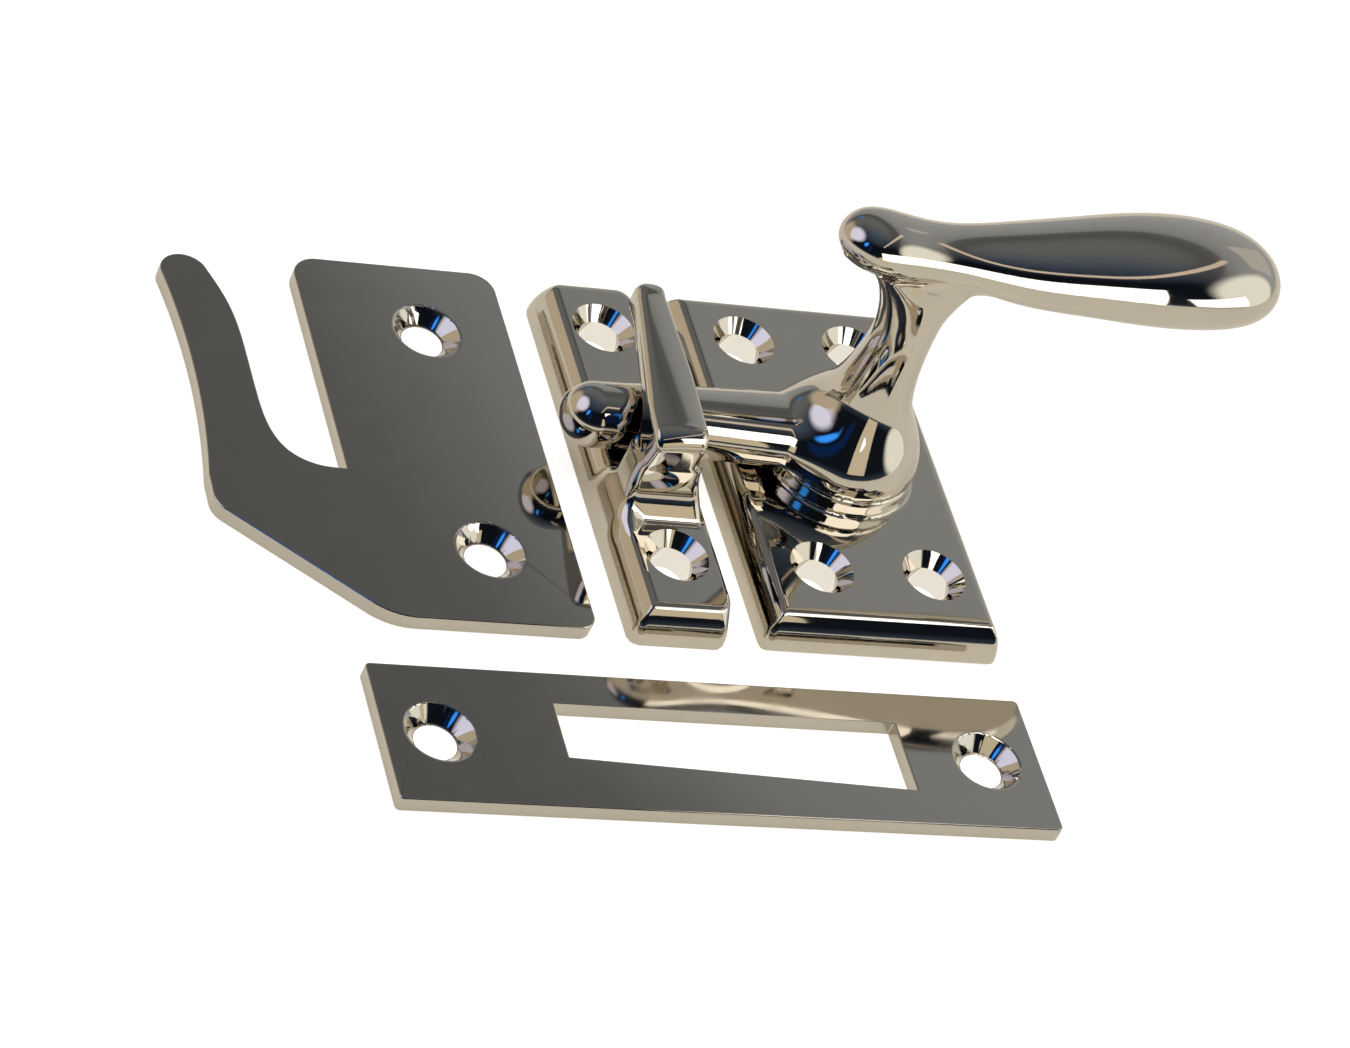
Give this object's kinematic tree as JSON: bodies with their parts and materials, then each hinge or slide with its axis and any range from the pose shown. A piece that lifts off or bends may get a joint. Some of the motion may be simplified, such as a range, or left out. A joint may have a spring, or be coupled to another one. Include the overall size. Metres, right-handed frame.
{
  "type": "casement window fastener",
  "caption": "Casement window fastener: a spoon-grip handle with a ball-ended tongue turns on a bevelled base, shown locked in a hooked rim strike, with a hook strike and a mortise strike.",
  "frame": {"origin": "middle of the base plate's four screw holes, on the back plane that lies against the wood", "axes": "+Z away from the wood, along the handle's pivot; +X from the tongue towards the grip when locked; +Y along the base plate, towards the open side of the rim strike's keeper"},
  "size_m": [0.1005, 0.0679, 0.0377],
  "materials": {
    "polished_nickel": "polished nickel plate",
    "turned_brass": "plain turned brass",
    "plain_steel": "zinc-plated steel"
  },
  "bodies": {
    "plates": {"base_plate": "polished_nickel", "thrust_washer": "turned_brass", "spring_washer": "plain_steel", "rim_strike": "polished_nickel", "hook_strike": "polished_nickel", "mortise_strike": "polished_nickel"},
    "handle": {"handle": "polished_nickel", "spindle": "plain_steel", "retaining_washer": "plain_steel", "retaining_screw": "plain_steel"}
  },
  "joints": [
    {"name": "handle_turn", "type": "hinge", "parent": "plates", "child": "handle", "pos_m": [-0.0005, -0.0005, 0], "axis": [0, 0, 1], "range_deg": [-315, 0]}
  ]
}
